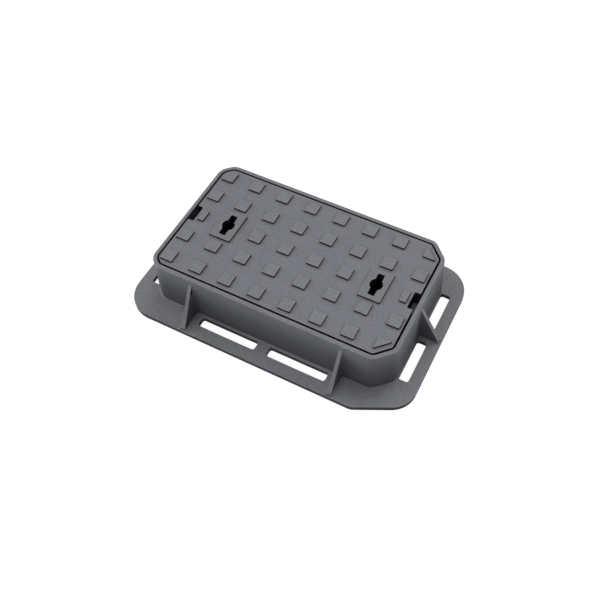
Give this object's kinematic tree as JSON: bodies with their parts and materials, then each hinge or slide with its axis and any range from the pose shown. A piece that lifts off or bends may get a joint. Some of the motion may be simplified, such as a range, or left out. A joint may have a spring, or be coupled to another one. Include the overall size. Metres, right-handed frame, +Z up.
{
  "type": "surface box",
  "caption": "Rectangular cast iron surface box for valves, meters or hydrants: a flanged frame with gussets and keying slots, and a studded lift-out cover with keyways and pry notches.",
  "frame": {"origin": "middle of the outline of the base flange, on the face that it stands on", "axes": "+X along the long side, towards the end with the larger corner cuts; +Y from the wider front flange to the back; +Z up"},
  "size_m": [0.519, 0.321, 0.1005],
  "materials": {
    "frame": "bare, fine-grained as-cast iron, dull mid grey",
    "cover": "bare, fine-grained as-cast iron, dull mid grey"
  },
  "bodies": {
    "root": {"frame": "frame", "cover": "cover"}
  },
  "joints": []
}
